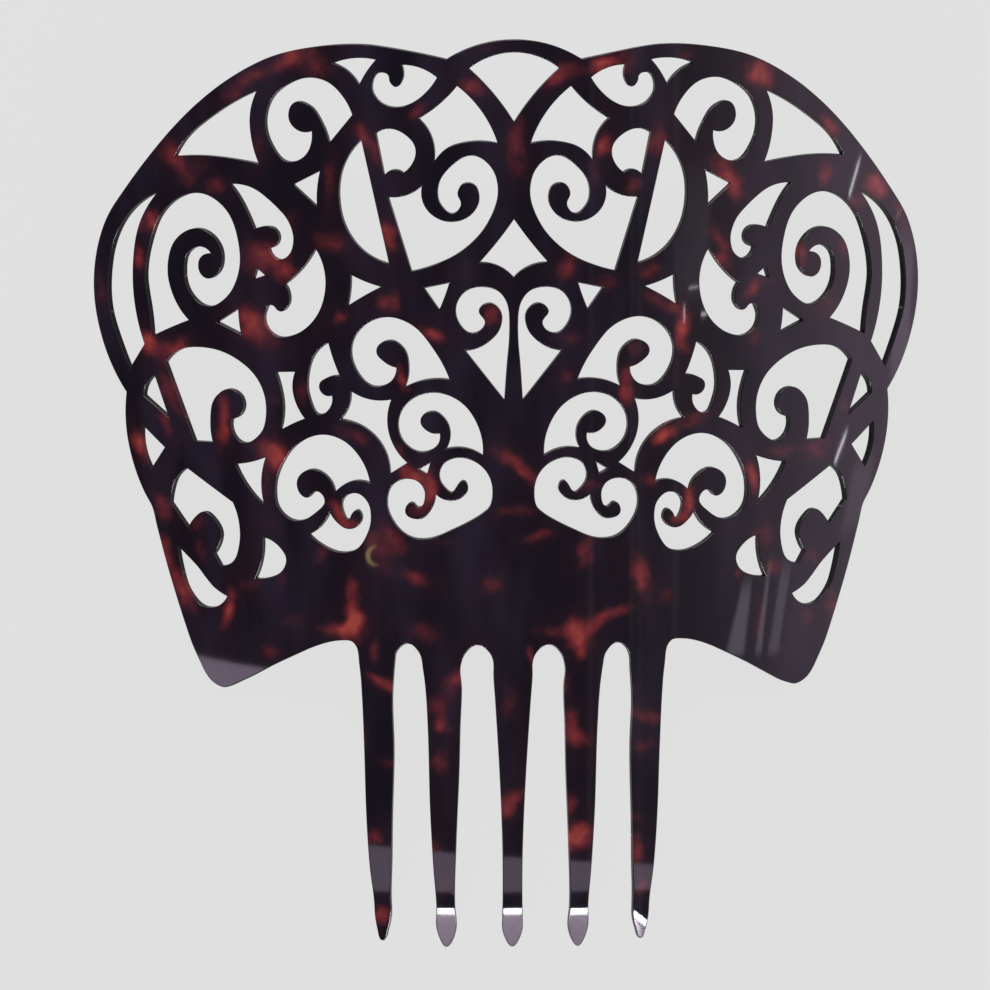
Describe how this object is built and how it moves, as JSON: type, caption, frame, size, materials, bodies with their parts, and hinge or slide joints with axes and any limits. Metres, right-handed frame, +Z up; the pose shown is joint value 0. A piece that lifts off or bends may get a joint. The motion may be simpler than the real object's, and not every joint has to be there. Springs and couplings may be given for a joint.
{
  "type": "peineta hair comb",
  "caption": "Tall ornamental hair comb cut from one bent sheet of tortoiseshell plastic, with a pierced scroll crest and long tapered teeth.",
  "frame": {"origin": "on the floor under the middle of the comb's box, as it lies on its hollow side", "axes": "+Y from the tooth tips towards the crest, +X across the comb, +Z up from the floor"},
  "size_m": [0.1906, 0.2057, 0.0416],
  "materials": {
    "tortoiseshell": "polished, near-black with cloudy red-brown blotches"
  },
  "bodies": {
    "root": {"comb": "tortoiseshell"}
  },
  "joints": []
}
